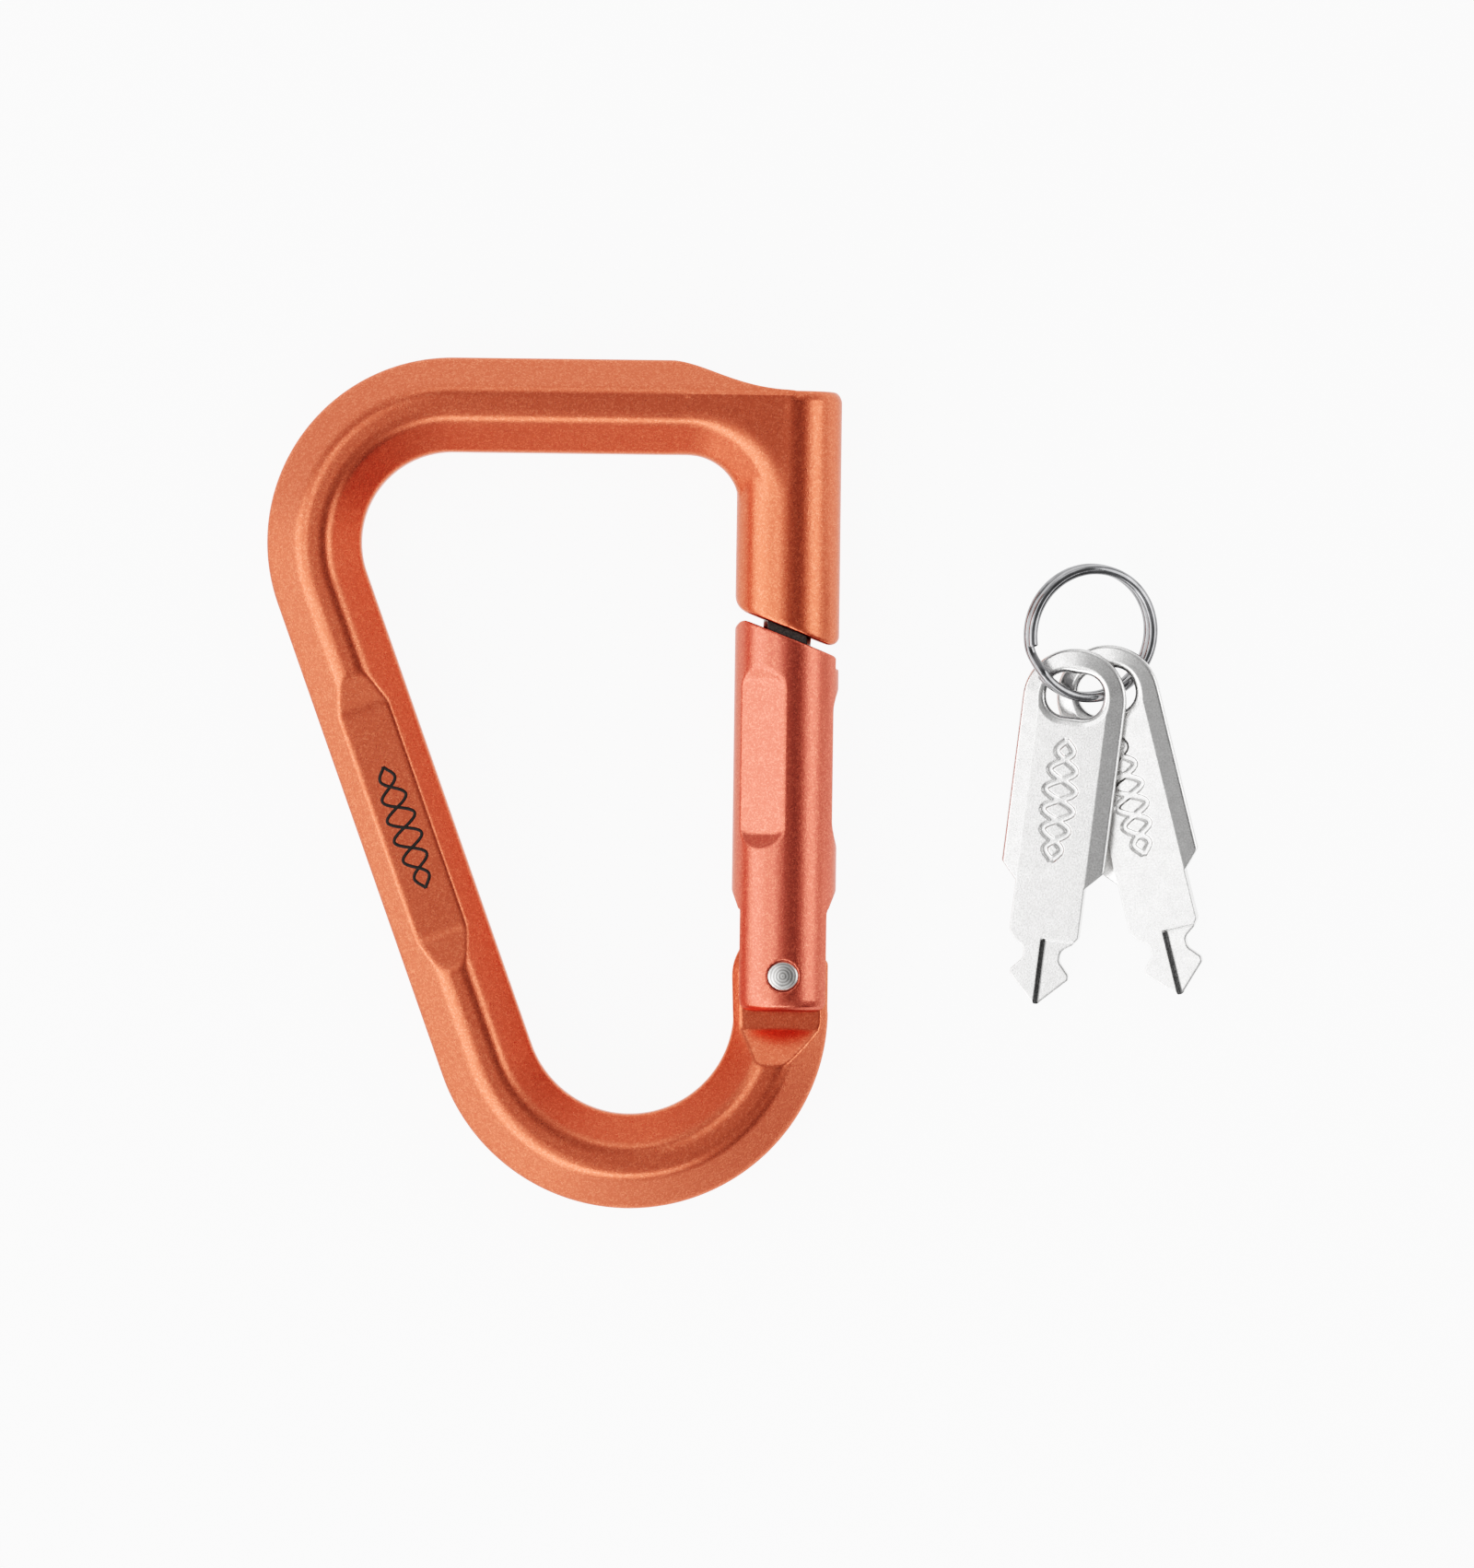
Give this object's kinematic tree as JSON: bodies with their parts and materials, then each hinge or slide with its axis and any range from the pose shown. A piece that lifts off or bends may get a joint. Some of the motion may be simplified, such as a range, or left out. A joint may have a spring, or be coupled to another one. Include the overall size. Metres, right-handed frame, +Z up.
{
  "type": "locking carabiner key holder with split ring and keys",
  "caption": "Offset-D anodised carabiner whose round gate locks with a flat key; a small split ring holds the matching keys beside it.",
  "frame": {"origin": "centre of the underside of the box round the carabiner and the loose ring and keys, on the surface they lie on", "axes": "+X across the set from the carabiner's spine to the keys, +Y from the gate's hinge towards the lock barrel, +Z up from the surface, through the flat carabiner"},
  "size_m": [0.1086, 0.0976, 0.012],
  "materials": {
    "orange_anodised": "bead-blasted and anodised orange, satin",
    "orange_anodised_gate": "bead-blasted and anodised orange with a slightly pinker cast, satin",
    "turned_steel": "fine turning marks",
    "brass": "machined",
    "spring_steel": "drawn wire",
    "dark_steel": "dark oxide over machined steel",
    "nickel_plate": "bright nickel plate",
    "key_steel": "satin nickel, tumbled edges"
  },
  "bodies": {
    "carabiner": {"frame": "orange_anodised", "ward_plate": "brass", "plug_snap_ring": "spring_steel", "stop_pin": "turned_steel"},
    "gate": {"gate": "orange_anodised_gate", "gate_rivet": "turned_steel"},
    "plunger": {"gate_plunger": "brass", "gate_spring": "spring_steel"},
    "key_plug": {"key_plug": "dark_steel"},
    "lock_bolt": {"lock_bolt": "dark_steel", "detent_ball": "turned_steel", "detent_spring": "spring_steel"},
    "split_ring": {"split_ring": "nickel_plate"},
    "key_1": {"key_1": "key_steel"},
    "key_2": {"key_2": "key_steel"}
  },
  "joints": [
    {"name": "gate_hinge", "type": "hinge", "parent": "carabiner", "child": "gate", "pos_m": [0.0057, -0.02186, 0.006], "axis": [0, 0, 1], "range_deg": [0, 28], "stiffness_Nm_per_rad": 0.08, "springref_deg": -20.05},
    {"name": "plunger_slide", "type": "slide", "parent": "gate", "child": "plunger", "axis": [0, 1, 0], "range_m": [0, 0.0009], "deforming": ["gate_spring"]},
    {"name": "plug_turn", "type": "hinge", "parent": "carabiner", "child": "key_plug", "pos_m": [0.0057, 0.04014, 0.006], "axis": [0, -1, 0], "range_deg": [0, 90]},
    {"name": "bolt_turn", "type": "hinge", "parent": "carabiner", "child": "lock_bolt", "pos_m": [0.0057, 0.03014, 0.006], "axis": [0, -1, 0], "range_deg": [0, 90]},
    {"name": "ring_lift", "type": "slide", "parent": "carabiner", "child": "split_ring", "axis": [0, 0, 1], "range_m": [0, 0.05]},
    {"name": "key_1_swing", "type": "hinge", "parent": "split_ring", "child": "key_1", "pos_m": [0.04072, 0.01809, 0.00446], "axis": [0.3439, -0.1313, 0.9298], "range_deg": [-35, 0]},
    {"name": "key_2_swing", "type": "hinge", "parent": "split_ring", "child": "key_2", "pos_m": [0.04072, 0.01809, 0.00446], "axis": [0.3439, -0.1313, 0.9298], "range_deg": [0, 35]}
  ],
  "couplings": [
    {"joint": "plunger_slide", "follows": "gate_hinge", "m_per_rad": 0.00163},
    {"joint": "plug_turn", "follows": "bolt_turn", "ratio": 1}
  ]
}
